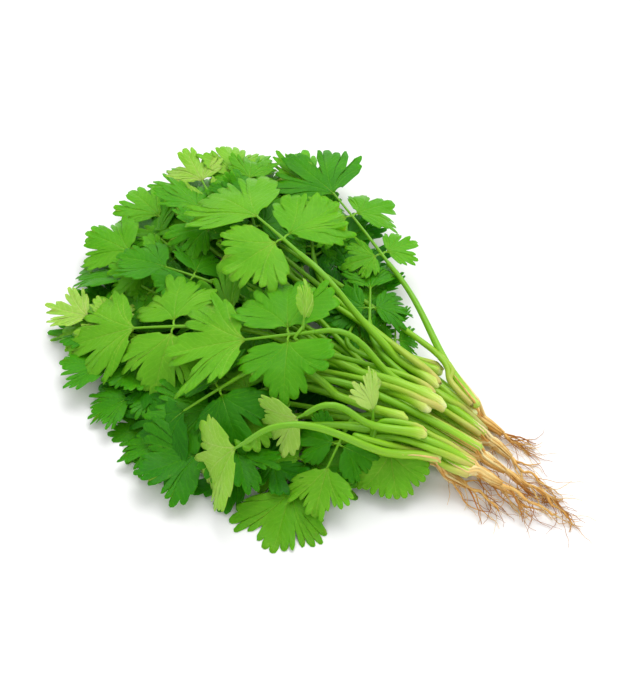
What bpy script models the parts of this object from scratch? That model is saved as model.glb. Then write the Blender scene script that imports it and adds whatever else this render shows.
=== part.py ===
"""A bunch of coriander with its roots on, lying on a flat surface.

Each sprig is a stalk that ends in a compound leaf of fan-shaped, lobed leaflets. Most
stalks still grow from the crown of a rooted plant. The others were picked loose, with
a swollen pale end, and lie among them. The pieces are laid down one after another,
each on top of what is already there, as a real bunch is gathered.

Units are metres, +Z is up, +X points from the leaves to the roots, and the origin is
at the bottom centre of the bunch.
"""

import math
from collections import namedtuple

import bmesh
import bpy
from mathutils import Matrix, Vector
from mathutils.bvhtree import BVHTree
from mathutils.geometry import delaunay_2d_cdt

MM = 0.001

# Driving dimensions
LEAF_THICKNESS = 0.4 * MM
LEAF_FOOT_HALF_WIDTH = 0.8 * MM  # of the rib on which a leaf meets its stalk
PETIOLULE = 2.5 * MM  # bare rib between the main rib and a side leaflet
STALK_TIP_RADIUS = 1.2 * MM
STALK_ROOTED_RADIUS = 2.2 * MM
STALK_LOOSE_RADIUS = 3.0 * MM
LOOSE_SWELLING = 0.12  # share of a loose stalk's length that its swollen end takes
CROWN_RADIUS = 3.8 * MM
ROOT_TIP_RADIUS = 0.55 * MM
ROOTLET_RADII = (0.75 * MM, 0.4 * MM)  # at the root and at the tip
JOINT_GAP = 0.3 * MM  # between a stalk and its leaf, and between a crown and its stalk
LAY_GAP = 0.4 * MM  # kept above whatever a piece is laid on

# Mesh resolution
STALK_SIDES = 8
STALK_RINGS = 14
SWOLLEN_POINTS = (1, 3)  # path points near a loose stalk's start that get a ring too
ROOT_SIDES = 8
ROOT_RINGS = 9
ROOTLET_SIDES = 6
ROOTLET_RINGS = 6
PATH_POINTS = 60  # of a stalk, before it is cut down to its rings
LAY_STEP = 2.0 * MM  # spacing of the places where a piece is felt for what lies below
STALK_DOME = 0.35  # height of a stalk's domed end, as a share of its radius
ROOT_DOME = 0.2

# How far a lifted stalk rises before and after an obstacle, as a share of its length
LIFT_REACH = 0.28
# Where a stalk is felt: distance to the side and depth there, as shares of its radius
STALK_FEELERS = [(0, 1), (-0.7, 0.8), (0.7, 0.8), (-1.15, 0.25), (1.15, 0.25)]

# Half of a leaflet's edge: degrees off its midrib, and distance from its base as a
# share of its length. The steps in and out are the clefts and the lobes.
LEAFLET_EDGE = [
    (0, 1.00), (12, 0.97), (20, 0.82), (26, 0.58), (33, 0.80), (47, 0.88), (60, 0.74), (70, 0.40),
]
LEAFLET_INNER = [(0, 0.45), (0, 0.80), (47, 0.46), (-47, 0.46)]

# Leaf kinds, at size 1: (place along the rib, leaflet length, degrees off the rib) of
# each pair of side leaflets, then the place and length of the end leaflet, in mm
PATTERNS = {
    "leaf": ([(11, 28, 84)], 29, 37),
    "pinnate_leaf": ([(7, 20, 86), (38, 27, 80)], 57, 36),
    "young_leaf": ([], 5, 28),
}

# Rooted plants, in mm and degrees: crown (x, y), root tip (x, y), height of the crown
# above its lowest place, and the side rootlets as (share along the root, degrees off
# it, length). The last two lie on the others.
Root = namedtuple("Root", "crown tip rise rootlets")
ROOTS = {
    "root_1": Root((12, 20), (50, 9), 0, [(0.35, 14, 16), (0.6, -14, 14)]),
    "root_2": Root((21, 10), (60, 1), 0, [(0.3, -14, 18), (0.5, 18, 18), (0.7, -12, 16)]),
    "root_3": Root((13, 1), (66, -5), 0, [(0.5, -14, 20), (0.65, 12, 18), (0.8, -18, 14)]),
    "root_4": Root((16, -9), (71, -15), 0, [(0.45, -16, 20), (0.6, 14, 18), (0.8, -12, 14)]),
    "root_5": Root((12, -20), (60, -22), 0, [(0.4, -12, 18), (0.6, 14, 18), (0.8, -12, 14)]),
    "root_6": Root((25, -5), (80, -11), 8, [(0.5, 18, 20), (0.65, -13, 18), (0.8, 14, 16)]),
    "root_7": Root((27, -16), (82, -19), 8, [(0.5, 16, 18), (0.65, -14, 18), (0.8, 10, 16)]),
}

# Where up to three stalks stand on a crown: offsets (y, z) from its middle, in mm
CROWN_SLOTS = {"left": (-2.6, -0.8), "right": (2.6, -0.8), "top": (0.0, 3.9)}

# The sprigs in the order in which they are laid. start is (root, slot) for a rooted
# stalk, or a loose stalk's least (x, y, z); foot is where the leaf begins, with its
# least height; heading, pitch and roll turn the leaf, in degrees; size scales its
# pattern; bend is its curve along, across and twisted, per metre; arch lifts the
# stalk between its ends. Places are in mm.
Sprig = namedtuple("Sprig", "leaf start foot heading pitch roll size bend arch")
SPRIGS = [
    Sprig("leaf_01", ("root_4", "right"), (-86, -10, 0), 178, 0, 0, 1.1, (0, 0, 0), 0),
    Sprig("leaf_02", ("root_5", "top"), (-46, -38, 2), -84, -6, 0, 0.92, (-1, -3, 0), 2),
    Sprig("pinnate_leaf_03", ("root_4", "left"), (-82, -40, 6), -148, -6, 2, 0.76, (0, -2, 0), 3),
    Sprig("pinnate_leaf_04", ("root_3", "left"), (-134, -2, 6), -178, -4, 4, 0.78, (0, -2, 0), 3),
    Sprig("leaf_05", ("root_3", "right"), (-158, 16, 6), 176, -4, 4, 0.86, (-1, -2, 2), 3),
    Sprig("pinnate_leaf_06", ("root_2", "left"), (-132, 30, 8), 164, -4, 4, 0.88, (0, -2, -1), 3),
    Sprig("leaf_07", ("root_2", "right"), (-155, 60, 8), 148, -2, 6, 0.94, (-1, -2, 2), 3),
    Sprig("leaf_08", ("root_1", "left"), (-132, 66, 8), 132, -2, 4, 1.0, (-1, -2, 0), 3),
    Sprig("pinnate_leaf_09", ("root_1", "right"), (-106, 64, 8), 124, -2, 2, 0.86, (0, -2, 1), 3),
    Sprig("young_leaf_10", ("root_4", "top"), (-13, -24, 4), -60, -16, 0, 0.88, (-2, -4, 0), 5),
    Sprig("leaf_11", ("root_7", "left"), (-34, -30, 3), -84, -8, -4, 0.70, (-2, -3, 0), 2),
    Sprig("leaf_12", ("root_7", "right"), (-70, -52, 6), -136, -8, 0, 0.92, (-1, -2, 2), 3),
    Sprig("leaf_13", ("root_6", "left"), (-112, -32, 10), -152, -6, 0, 0.84, (-1, -2, -2), 3),
    Sprig("leaf_14", ("root_6", "right"), (-142, -22, 12), -162, -6, -2, 0.88, (-1, -2, 2), 3),
    Sprig("leaf_15", (-14, 29, 3), (-62, 24, 6), 98, -2, 4, 0.70, (-1, -3, 0), 2),
    Sprig("leaf_16", ("root_2", "top"), (-56, 34, 12), 118, 2, 0, 0.74, (-1, -3, 0), 3),
    Sprig("pinnate_leaf_17", ("root_1", "top"), (-66, 72, 18), 150, 6, 4, 0.96, (-1, -4, 0), 5),
    Sprig("leaf_18", ("root_6", "top"), (-76, -30, 14), -138, -14, 0, 0.95, (-1, -2, 0), 4),
    Sprig("leaf_19", (-4, 8, 3), (-114, 8, 18), 164, -2, -2, 0.88, (-1, -3, 2), 3),
    Sprig("leaf_20", (-3, -6, 3), (-90, 2, 22), 178, -6, -6, 0.90, (-1, -3, -2), 4),
    Sprig("leaf_21", (-10, -16, 3), (-88, -36, 22), -128, -22, -2, 1.06, (-1, -2, 0), 4),
    Sprig("leaf_22", (2, 0, 3), (-124, -18, 26), -158, -10, -6, 1.12, (-1, -2, 0), 5),
    Sprig("leaf_23", (-8, 8, 3), (-66, -3, 30), -150, -8, -8, 1.16, (-1, -2, 2), 6),
    Sprig("leaf_24", (-10, 17, 3), (-98, 36, 32), 158, -2, -6, 1.18, (-1, -3, 2), 6),
    Sprig("young_leaf_25", (2, -20, 3), (-46, -46, 20), -150, -38, -44, 0.86, (-4, 6, 0), 8),
    Sprig("young_leaf_26", ("root_5", "left"), (-61, -74, 20), -150, -42, -24, 1.25, (-4, 6, 0), 10),
]


def clear_scene():
    for old in list(bpy.data.objects):
        bpy.data.objects.remove(old)


def make_material(name, colour, roughness):
    material = bpy.data.materials.new(name)
    material.use_nodes = True
    shader = material.node_tree.nodes["Principled BSDF"]
    shader.inputs["Base Color"].default_value = (*colour, 1.0)
    shader.inputs["Roughness"].default_value = roughness
    shader.inputs["Metallic"].default_value = 0.0
    return material


def add_object(name, shape, material):
    """Turns a bmesh into an object of the scene, facing out."""
    bmesh.ops.recalc_face_normals(shape, faces=shape.faces[:])
    mesh = bpy.data.meshes.new(name)
    shape.to_mesh(mesh)
    shape.free()
    mesh.materials.append(material)
    made = bpy.data.objects.new(name, mesh)
    bpy.context.scene.collection.objects.link(made)
    return made


class Pile:
    """What has been laid down so far, felt from above with vertical rays."""

    HIGH = 1.0

    def __init__(self):
        self.vertices = []
        self.triangles = []
        self.tree = None

    def add(self, made):
        first = len(self.vertices)
        self.vertices += [v.co.copy() for v in made.data.vertices]
        for polygon in made.data.polygons:
            corners = [first + i for i in polygon.vertices]
            self.triangles += [(corners[0], b, c) for b, c in zip(corners[1:], corners[2:])]
        self.tree = BVHTree.FromPolygons(self.vertices, self.triangles, all_triangles=True)

    def top(self, point):
        """Height of the highest thing at point's x and y, and 0 for the bare surface."""
        if self.tree is None:
            return 0.0
        hit = self.tree.ray_cast(Vector((point.x, point.y, self.HIGH)), Vector((0, 0, -1)))[0]
        return hit.z if hit else 0.0

    def rise(self, points):
        """How far the points must rise to clear the pile, and to be on the surface."""
        needed = -min(p.z for p in points)
        for point in points:
            top = self.top(point)
            if top > 0:
                needed = max(needed, top + LAY_GAP - point.z)
        return needed


# ----------------------------------------------------------------------------- tubes


def bezier(start, start_pull, end_pull, end, count):
    """Points along a cubic curve from start to end."""
    points = []
    for i in range(count):
        t = i / (count - 1)
        points.append(
            start * (1 - t) ** 3
            + start_pull * 3 * t * (1 - t) ** 2
            + end_pull * 3 * t * t * (1 - t)
            + end * t**3
        )
    return points


def tube(centres, radii, sides, dome):
    """A bmesh of a round tube with slightly domed ends, made ring by ring."""
    shape = bmesh.new()
    rings = []
    side = (centres[1] - centres[0]).cross(Vector((0, 0, 1))).normalized()
    for i, centre in enumerate(centres):
        along = (centres[min(i + 1, len(centres) - 1)] - centres[max(i - 1, 0)]).normalized()
        side = (side - along * side.dot(along)).normalized()
        other = along.cross(side)
        ring = []
        for k in range(sides):
            turn = 2 * math.pi * k / sides
            reach = side * math.cos(turn) + other * math.sin(turn)
            ring.append(shape.verts.new(centre + reach * radii[i]))
        rings.append(ring)
    for lower, upper in zip(rings, rings[1:]):
        for k in range(sides):
            after = (k + 1) % sides
            shape.faces.new((lower[k], lower[after], upper[after], upper[k]))
    ends = ((rings[0], centres[0], centres[1], radii[0]), (rings[-1], centres[-1], centres[-2], radii[-1]))
    for ring, centre, inside, radius in ends:
        pole = shape.verts.new(centre + (centre - inside).normalized() * radius * dome)
        for k in range(sides):
            shape.faces.new((ring[k], ring[(k + 1) % sides], pole))
    return shape


# ----------------------------------------------------------------------------- roots


def taproot_path(root, number):
    """Centres and radii of the crown and taproot, above z = 0."""
    crown = Vector((root.crown[0] * MM, root.crown[1] * MM, CROWN_RADIUS + root.rise * MM))
    tip = Vector((root.tip[0] * MM, root.tip[1] * MM, 2 * ROOT_TIP_RADIUS))
    across = Vector((-(tip - crown).y, (tip - crown).x, 0)).normalized()
    centres = []
    radii = []
    for i in range(ROOT_RINGS):
        share = i / (ROOT_RINGS - 1)
        sway = 1.8 * MM * math.sin(math.pi * share) * math.sin(5 * share + number)
        centre = crown.lerp(tip, share) + across * sway
        radius = CROWN_RADIUS * (1 - share) ** 1.3 + ROOT_TIP_RADIUS
        centre.z = max(centre.z, radius)
        centres.append(centre)
        radii.append(radius)
    radii[0] = CROWN_RADIUS
    return centres, radii


def rootlet_shape(centres, share, angle, length):
    """A thin side root that leaves the taproot's path and comes down to the surface."""
    start = centres[round(share * (ROOT_RINGS - 1))]
    along = (centres[-1] - centres[0]).normalized()
    heading = Matrix.Rotation(math.radians(angle), 3, "Z") @ along
    end = start + Vector((heading.x, heading.y, 0)) * length * MM
    end.z = 2 * ROOTLET_RADII[1]
    start_pull = start.lerp(end, 0.4)
    start_pull.z = start.z
    end_pull = end - along * 0.3 * length * MM
    path = bezier(start, start_pull, end_pull, end, ROOTLET_RINGS)
    thick, thin = ROOTLET_RADII
    radii = [thick + (thin - thick) * i / (ROOTLET_RINGS - 1) for i in range(ROOTLET_RINGS)]
    for centre, radius in zip(path, radii):
        centre.z = max(centre.z, radius)
    return tube(path, radii, ROOTLET_SIDES, STALK_DOME)


def joined(made, others):
    """The mesh of made united with the others, which are removed."""
    for i, other in enumerate(others):
        union = made.modifiers.new(f"join_{i}", "BOOLEAN")
        union.operation = "UNION"
        union.object = other
    graph = bpy.context.evaluated_depsgraph_get()
    mesh = bpy.data.meshes.new_from_object(made.evaluated_get(graph))
    made.modifiers.clear()
    for other in others:
        bpy.data.objects.remove(other)
    return mesh


def dense_points(mesh):
    """The mesh's vertices, and points spaced along its edges."""
    found = [v.co.copy() for v in mesh.vertices]
    for edge in mesh.edges:
        a, b = (mesh.vertices[i].co for i in edge.vertices)
        steps = int((a - b).length / LAY_STEP) + 1
        found += [a.lerp(b, k / steps) for k in range(1, steps)]
    return found


def add_root(name, root, number, pile, material):
    """Lays one crown, taproot and rootlets on the pile. Returns the crown's middle."""
    centres, radii = taproot_path(root, number)
    made = add_object(name, tube(centres, radii, ROOT_SIDES, ROOT_DOME), material)
    rootlets = []
    for i, (share, angle, length) in enumerate(root.rootlets):
        shape = rootlet_shape(centres, share, angle, length)
        rootlets.append(add_object(f"{name}_rootlet_{i}", shape, material))
    made.data = joined(made, rootlets)
    rise = pile.rise(dense_points(made.data))
    made.data.transform(Matrix.Translation((0, 0, rise)))
    pile.add(made)
    return centres[0] + Vector((0, 0, rise))


# ---------------------------------------------------------------------------- leaves


def direction(degrees):
    return Vector((math.cos(math.radians(degrees)), math.sin(math.radians(degrees))))


def leaf_pattern(kind, size):
    """Outline and inner points of a whole flat leaf: u along its rib, v to its left."""
    pairs, end_place, end_length = PATTERNS[kind]
    half = LEAF_FOOT_HALF_WIDTH
    scale = size * MM
    edge_left = LEAFLET_EDGE
    edge_right = [(-angle, share) for angle, share in reversed(LEAFLET_EDGE[1:])]
    right = [Vector((0, -half))]
    left = [Vector((0, half))]
    inner = []
    for place, length, axis in pairs:
        for side, sign in ((right, -1), (left, 1)):
            on_rib = Vector((place * scale, sign * half))
            base = on_rib + direction(sign * axis) * PETIOLULE
            neck = direction(sign * (axis + 90)) * half * 0.7
            edge = [
                base + direction(sign * axis + angle) * share * length * scale
                for angle, share in edge_right + edge_left
            ]
            if sign > 0:
                edge.reverse()
            side.append(on_rib - Vector((half, 0)))
            side.append(base + neck)
            side.extend(edge)
            side.append(base - neck)
            side.append(on_rib + Vector((half, 0)))
            inner += [
                base + direction(sign * axis + angle) * share * length * scale
                for angle, share in LEAFLET_INNER
            ]
    base = Vector((end_place * scale, 0))
    right.append(base + Vector((0, -half)))
    left.append(base + Vector((0, half)))
    edge = [
        base + direction(angle) * share * end_length * scale
        for angle, share in edge_right + edge_left
    ]
    inner += [
        base + direction(angle) * share * end_length * scale for angle, share in LEAFLET_INNER
    ]
    return right + edge + left[::-1], inner


def leaf_turn(sprig):
    """The leaf's own axes, turned from lying flat with its rib along +X."""
    return (
        Matrix.Rotation(math.radians(sprig.heading), 4, "Z")
        @ Matrix.Rotation(math.radians(-sprig.pitch), 4, "Y")
        @ Matrix.Rotation(math.radians(sprig.roll), 4, "X")
    )


def leaf_sheets(sprig, foot):
    """The leaf's underside and upper side as points, its triangles and its edge loop."""
    outline, inner = leaf_pattern(sprig.leaf.rsplit("_", 1)[0], sprig.size)
    loop = list(range(len(outline)))
    flat, _, triangles, origins, _, _ = delaunay_2d_cdt(outline + inner, [], [loop], 1, 1e-7)
    place = Matrix.Translation(foot) @ leaf_turn(sprig)
    along, across, twist = sprig.bend
    lower = []
    upper = []
    for u, v in flat:
        middle = Vector((u, v, along * u * u + across * v * v + twist * u * v))
        normal = Vector((-2 * along * u - twist * v, -2 * across * v - twist * u, 1)).normalized()
        lower.append(place @ (middle - normal * LEAF_THICKNESS / 2))
        upper.append(place @ (middle + normal * LEAF_THICKNESS / 2))
    new_index = {first: i for i, group in enumerate(origins) for first in group}
    return lower, upper, triangles, [new_index[i] for i in loop]


def sheet_feelers(points, triangles):
    """Points all over a sheet, close enough together to feel a stalk below it."""
    found = []
    for corners in triangles:
        a, b, c = (points[i] for i in corners)
        longest = max((a - b).length, (b - c).length, (c - a).length)
        steps = int(longest / LAY_STEP) + 1
        for i in range(steps + 1):
            for k in range(steps + 1 - i):
                found.append(a + (b - a) * (i / steps) + (c - a) * (k / steps))
    return found


def leaf_shape(lower, upper, triangles, loop):
    """A bmesh of the closed leaf: two sheets and the narrow side between them."""
    shape = bmesh.new()
    below = [shape.verts.new(p) for p in lower]
    above = [shape.verts.new(p) for p in upper]
    for a, b, c in triangles:
        shape.faces.new((above[a], above[b], above[c]))
        shape.faces.new((below[c], below[b], below[a]))
    for a, b in zip(loop, loop[1:] + loop[:1]):
        shape.faces.new((below[a], below[b], above[b], above[a]))
    bmesh.ops.triangulate(shape, faces=shape.faces[:])
    return shape


# ---------------------------------------------------------------------------- stalks


def stalk_radius(share, loose):
    """Stalk radius from its start, 0, to its leaf, 1."""
    slim = STALK_ROOTED_RADIUS + (STALK_TIP_RADIUS - STALK_ROOTED_RADIUS) * share
    slim += 0.02 * MM * math.sin(40 * share)
    if not loose:
        return slim
    if share == 0:
        return 0.62 * STALK_LOOSE_RADIUS
    swelling = max(0.0, 1 - share / LOOSE_SWELLING) ** 2
    return slim + (STALK_LOOSE_RADIUS - slim) * swelling


def stalk_needs(path, loose, pile):
    """How far each point of a stalk's path must rise to clear the pile."""
    last = len(path) - 1
    needs = []
    for i, point in enumerate(path):
        radius = stalk_radius(i / last, loose)
        ahead = path[min(i + 1, last)] - path[max(i - 1, 0)]
        side = Vector((-ahead.y, ahead.x, 0)).normalized() * radius
        need = radius - point.z
        for sideways, depth in STALK_FEELERS:
            top = pile.top(point + side * sideways)
            if top > 0:
                need = max(need, top + radius * depth + LAY_GAP - point.z)
        needs.append(max(0.0, need))
    return needs


def lift(share, needs, loose):
    """Height of the smooth humps that meet every need, at this share of the path."""
    highest = 0.0
    for k, need in enumerate(needs):
        at = k / (len(needs) - 1)
        reach = LIFT_REACH
        if share > at:
            reach = min(reach, 1 - at)
        elif share < at and not loose:
            reach = min(reach, at)
        off = abs(share - at) / reach if reach else 0
        if off < 1:
            highest = max(highest, need * (1 - off * off) ** 2)
    return highest


def stalk_path(sprig, start, foot, loose, pile):
    """The stalk's centre line, and how much too low the leaf's foot is for it."""
    heading = (leaf_turn(sprig) @ Vector((1, 0, 0, 0))).xyz
    end = foot - heading * (JOINT_GAP + STALK_DOME * STALK_TIP_RADIUS)
    end.z = max(end.z, 1.2 * STALK_TIP_RADIUS)
    pull = (end - start).length * 0.38
    fan = 0.75 * (end.y - start.y) / abs(end.x - start.x)
    out = Vector((-1, fan, 0.12)).normalized()
    hump = Vector((0, 0, sprig.arch * MM))
    path = bezier(start, start + out * pull + hump, end - heading * pull + hump, end, PATH_POINTS)
    needs = stalk_needs(path, loose, pile)
    for i, point in enumerate(path):
        point.z += lift(i / (PATH_POINTS - 1), needs, loose)
    return path, max(needs[-4:])


def add_sprig(sprig, crowns, pile, materials):
    """Lays one leaf and its stalk on the pile."""
    loose = sprig.start[0] not in crowns
    if loose:
        start = Vector(sprig.start) * MM
    else:
        root, slot = sprig.start
        y, z = CROWN_SLOTS[slot]
        back = JOINT_GAP + ROOT_DOME * CROWN_RADIUS + STALK_DOME * STALK_ROOTED_RADIUS
        start = crowns[root] + Vector((-back, y * MM, z * MM))
    foot = Vector(sprig.foot) * MM
    lower, _, triangles, _ = leaf_sheets(sprig, foot)
    foot.z += max(0.0, pile.rise(sheet_feelers(lower, triangles)))
    path, short = stalk_path(sprig, start, foot, loose, pile)
    while short > 0.01 * MM:
        foot.z += short
        path, short = stalk_path(sprig, start, foot, loose, pile)

    rings = {round(i * (PATH_POINTS - 1) / (STALK_RINGS - 1)) for i in range(STALK_RINGS)}
    rings = sorted(rings.union(SWOLLEN_POINTS) if loose else rings)
    centres = [path[i] for i in rings]
    radii = [stalk_radius(i / (PATH_POINTS - 1), loose) for i in rings]
    number = sprig.leaf.rsplit("_", 1)[1]
    stalk_shape = tube(centres, radii, STALK_SIDES, STALK_DOME)
    pile.add(add_object(f"stalk_{number}", stalk_shape, materials["stalk"]))
    pile.add(add_object(sprig.leaf, leaf_shape(*leaf_sheets(sprig, foot)), materials["leaf"]))


def centre_on_origin():
    """Moves every piece so that the origin is at the bottom centre of the bunch."""
    points = [v.co for made in bpy.data.objects for v in made.data.vertices]
    low = Vector([min(p[axis] for p in points) for axis in range(3)])
    high = Vector([max(p[axis] for p in points) for axis in range(3)])
    middle = (low + high) / 2
    middle.z = low.z
    for made in bpy.data.objects:
        made.data.transform(Matrix.Translation(-middle))


def main():
    clear_scene()
    materials = {
        "leaf": make_material("coriander_leaf", (0.10, 0.33, 0.03), 0.5),
        "stalk": make_material("coriander_stalk", (0.33, 0.55, 0.10), 0.4),
        "root": make_material("coriander_root", (0.60, 0.38, 0.16), 0.8),
    }
    pile = Pile()
    crowns = {}
    for number, (name, root) in enumerate(ROOTS.items()):
        crowns[name] = add_root(name, root, number, pile, materials["root"])
    for sprig in SPRIGS:
        add_sprig(sprig, crowns, pile, materials)
    centre_on_origin()


main()
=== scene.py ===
"""The coriander bunch's looks: fine leaves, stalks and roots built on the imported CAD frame."""

import math
from collections import namedtuple
from functools import partialmethod, reduce

import bpy
import numpy as np
from mathutils import Matrix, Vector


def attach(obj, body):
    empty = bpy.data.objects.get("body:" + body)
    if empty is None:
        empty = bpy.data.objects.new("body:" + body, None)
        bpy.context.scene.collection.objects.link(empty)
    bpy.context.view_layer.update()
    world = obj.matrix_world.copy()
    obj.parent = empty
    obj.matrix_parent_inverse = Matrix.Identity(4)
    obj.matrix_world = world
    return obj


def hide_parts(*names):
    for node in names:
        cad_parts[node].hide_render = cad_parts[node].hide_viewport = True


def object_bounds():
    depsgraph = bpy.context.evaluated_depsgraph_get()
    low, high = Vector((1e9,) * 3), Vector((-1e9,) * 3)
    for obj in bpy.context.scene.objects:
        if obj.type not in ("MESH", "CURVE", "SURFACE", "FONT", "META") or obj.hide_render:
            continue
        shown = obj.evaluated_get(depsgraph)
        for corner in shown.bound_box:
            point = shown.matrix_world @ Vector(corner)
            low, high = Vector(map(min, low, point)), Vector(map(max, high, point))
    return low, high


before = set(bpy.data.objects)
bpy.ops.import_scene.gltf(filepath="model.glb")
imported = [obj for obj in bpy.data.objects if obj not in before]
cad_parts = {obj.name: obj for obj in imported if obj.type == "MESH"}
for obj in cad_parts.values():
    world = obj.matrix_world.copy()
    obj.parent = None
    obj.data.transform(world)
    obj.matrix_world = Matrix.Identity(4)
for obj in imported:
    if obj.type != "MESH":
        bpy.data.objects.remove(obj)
cad_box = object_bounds()

# Shapes are worked out in mm and become metres when their mesh is made.
MM = 0.001
WELD = 1e-6  # m: CAD corners this close are one
LEAF_SEED, ROOT_SEED, SIDE_SEED = 20, 120, 220  # each leaf's or root's number is added

# ---- reading the frame

CAD_STALK_SIDES = 8  # points round a CAD stalk
CAD_FOOT_CORNERS = 4  # points of a CAD leaf's foot, where its rib starts

# The CAD leaves, at size 1: (place along the rib, length, degrees off the rib) of each
# pair of side leaflets, then the place and length of the end leaflet, in mm
PATTERNS = {
    "leaf": ([(11, 28, 84)], 29, 37),
    "pinnate_leaf": ([(7, 20, 86), (38, 27, 80)], 57, 36),
    "young_leaf": ([], 5, 28),
}
PETIOLULE = 2.5  # bare rib between the main rib and a side leaflet


def node_shape(name):
    """A CAD node's welded points, in mm, and its triangles."""
    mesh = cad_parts[name].data
    points = np.empty(len(mesh.vertices) * 3)
    mesh.vertices.foreach_get("co", points)
    mesh.calc_loop_triangles()
    faces = np.empty(len(mesh.loop_triangles) * 3, np.int32)
    mesh.loop_triangles.foreach_get("vertices", faces)
    keys = np.round(points.reshape(-1, 3) / WELD).astype(np.int64)
    whole, index = np.unique(keys, axis=0, return_inverse=True)
    return whole * (WELD / MM), index.reshape(-1)[faces].reshape(-1, 3)


def rings_from(pole, near):
    """The points of a tube level by level, going out from one of its end points."""
    seen = {pole}
    levels = [[pole]]
    while levels[-1]:
        after = {n for p in levels[-1] for n in near[p]} - seen
        seen |= after
        levels.append(sorted(after))
    return levels[:-1]


def stalk_line(name, leaf_points):
    """A CAD stalk's middle line and radii, from its leaf down, in mm: rows of x, y, z, r."""
    points, faces = node_shape(name)
    near = [set() for _ in points]
    for a, b, c in faces:
        near[a] |= {b, c}
        near[b] |= {a, c}
        near[c] |= {a, b}
    for pole in range(len(points)):
        if len(near[pole]) != CAD_STALK_SIDES:
            continue
        levels = rings_from(pole, near)
        if len(levels[-1]) == 1 and all(len(ring) == CAD_STALK_SIDES for ring in levels[1:-1]):
            break
    else:
        raise ValueError(f"{name} isn't a plain tube")
    rows = []
    for ring in levels:
        middle = points[ring].mean(0)
        rows.append([*middle, np.linalg.norm(points[ring] - middle, axis=1).mean()])
    line = np.array(rows)
    line[0, 3], line[-1, 3] = line[1, 3], line[-2, 3]
    ends = [np.linalg.norm(leaf_points - line[i, :3], axis=1).min() for i in (0, -1)]
    return line if ends[0] < ends[1] else line[::-1]


LEAST_HEIGHT = 0.25  # mm that a leaf's middle stays above the surface
LeafFrame = namedtuple("LeafFrame", "foot along across up size bend least")


def leaf_frame(name, tip):
    """Where a CAD leaf lies: its foot, its own axes, its size and its three bends. tip is
    the end of its stalk."""
    points, _ = node_shape(name)
    nearest = np.argsort(np.linalg.norm(points - tip, axis=1))
    corners = points[nearest[:CAD_FOOT_CORNERS]]
    foot = corners.mean(0)
    axes = np.linalg.svd(corners - foot)[2]
    across, up = axes[0], axes[1]
    up = up * np.sign(up[2])
    along = np.cross(across, up)
    along = along * np.sign(along @ (points.mean(0) - foot))
    across = np.cross(up, along)
    flat = (points - foot) @ np.array([along, across, up]).T
    _, place, length = PATTERNS[kind_of(name)]
    u, v, w = flat.T
    bend = np.linalg.lstsq(np.stack([u * u, v * v, u * v], 1), w, rcond=None)[0]
    return LeafFrame(foot, along, across, up, u.max() / (place + length), bend, LEAST_HEIGHT)


def kind_of(name):
    return name.rsplit("_", 1)[0]


def number_of(name):
    return int(name.rsplit("_", 1)[1])


# ---- gathering a mesh

# Values that every point carries for the materials, with what they are unless said
VALUES = {
    "tone": 0.5,  # leaf: from dark at 0 to a young pale one at 1; dark is an old leaf's own colour and also painted shade on leaves deep in the bunch
    "vein_mm": 5.0,  # leaf: how far the nearest vein is
    "vein_width": 0.0,  # leaf: half the width of that vein, in mm
    "reach_mm": 0.0,  # leaf: distance from the leaflet's foot
    "under": 0.0,  # leaf: 1 on the underside
    "bleach": 0.0,  # stalk: from green at 0 to cream at 1
    "brown": 0.0,  # stalk and root: from cream at 0 to brown at 1
}


def new_object(name, data):
    """A Blender object with that data, in the scene."""
    obj = bpy.data.objects.new(name, data)
    bpy.context.scene.collection.objects.link(obj)
    return obj


class Shape:
    """Points, faces and values of one piece, gathered part by part."""

    def __init__(self):
        self.points = []
        self.faces = []
        self.slots = []
        self.smooth = []
        self.values = {name: [] for name in VALUES}
        self.grain = []
        self.count = 0

    def add(self, points, faces, slot, values, grain=None, flat_from=None):
        """Adds points and faces. slot is their material's place in the piece's list, and
        faces from the number flat_from on are shaded flat."""
        for name, usual in VALUES.items():
            value = np.broadcast_to(np.asarray(values.get(name, usual), float), len(points))
            self.values[name].append(value)
        self.grain.append(np.zeros_like(points) if grain is None else grain)
        self.points.append(points)
        for i, face in enumerate(faces):
            self.faces.append([self.count + k for k in face])
            self.slots.append(slot)
            self.smooth.append(flat_from is None or i < flat_from)
        self.count += len(points)

    def piece(self, name, materials):
        """The Blender object of everything gathered."""
        mesh = bpy.data.meshes.new(name)
        mesh.from_pydata((np.concatenate(self.points) * MM).tolist(), [], self.faces)
        mesh.polygons.foreach_set("material_index", self.slots)
        mesh.polygons.foreach_set("use_smooth", self.smooth)
        for value, parts in self.values.items():
            made = mesh.attributes.new(value, "FLOAT", "POINT")
            made.data.foreach_set("value", np.concatenate(parts).astype(np.float32))
        made = mesh.attributes.new("grain", "FLOAT_VECTOR", "POINT")
        made.data.foreach_set("vector", np.concatenate(self.grain).astype(np.float32).ravel())
        for material in materials:
            mesh.materials.append(material)
        mesh.update()
        return new_object(name, mesh)


def unit(vector):
    return vector / np.linalg.norm(vector)


def smooth_rows(rows, step):
    """Rows of x, y, z and values along a smooth curve through the given rows."""
    rows = np.asarray(rows, float)
    padded = np.vstack([2 * rows[0] - rows[1], rows, 2 * rows[-1] - rows[-2]])
    made = []
    for before, a, b, after in zip(padded, padded[1:], padded[2:], padded[3:]):
        count = max(1, int(np.linalg.norm((b - a)[:3]) / step))
        for t in np.arange(count)[:, None] / count:
            row = 2 * a + (b - before) * t
            row = row + (2 * before - 5 * a + 4 * b - after) * t**2
            row = row + (3 * a - before - 3 * b + after) * t**3
            made.append(0.5 * row)
    return np.array(made + [rows[-1]])


TUBE_LIFT = 0.02  # mm that a tube stays above the surface
DOME_STEPS = np.array([0.85, 0.5])  # where a rounded end's two rings stand, of its height
END_POINT = 0.25  # how far a tube's last point stands out, in radii


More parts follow.
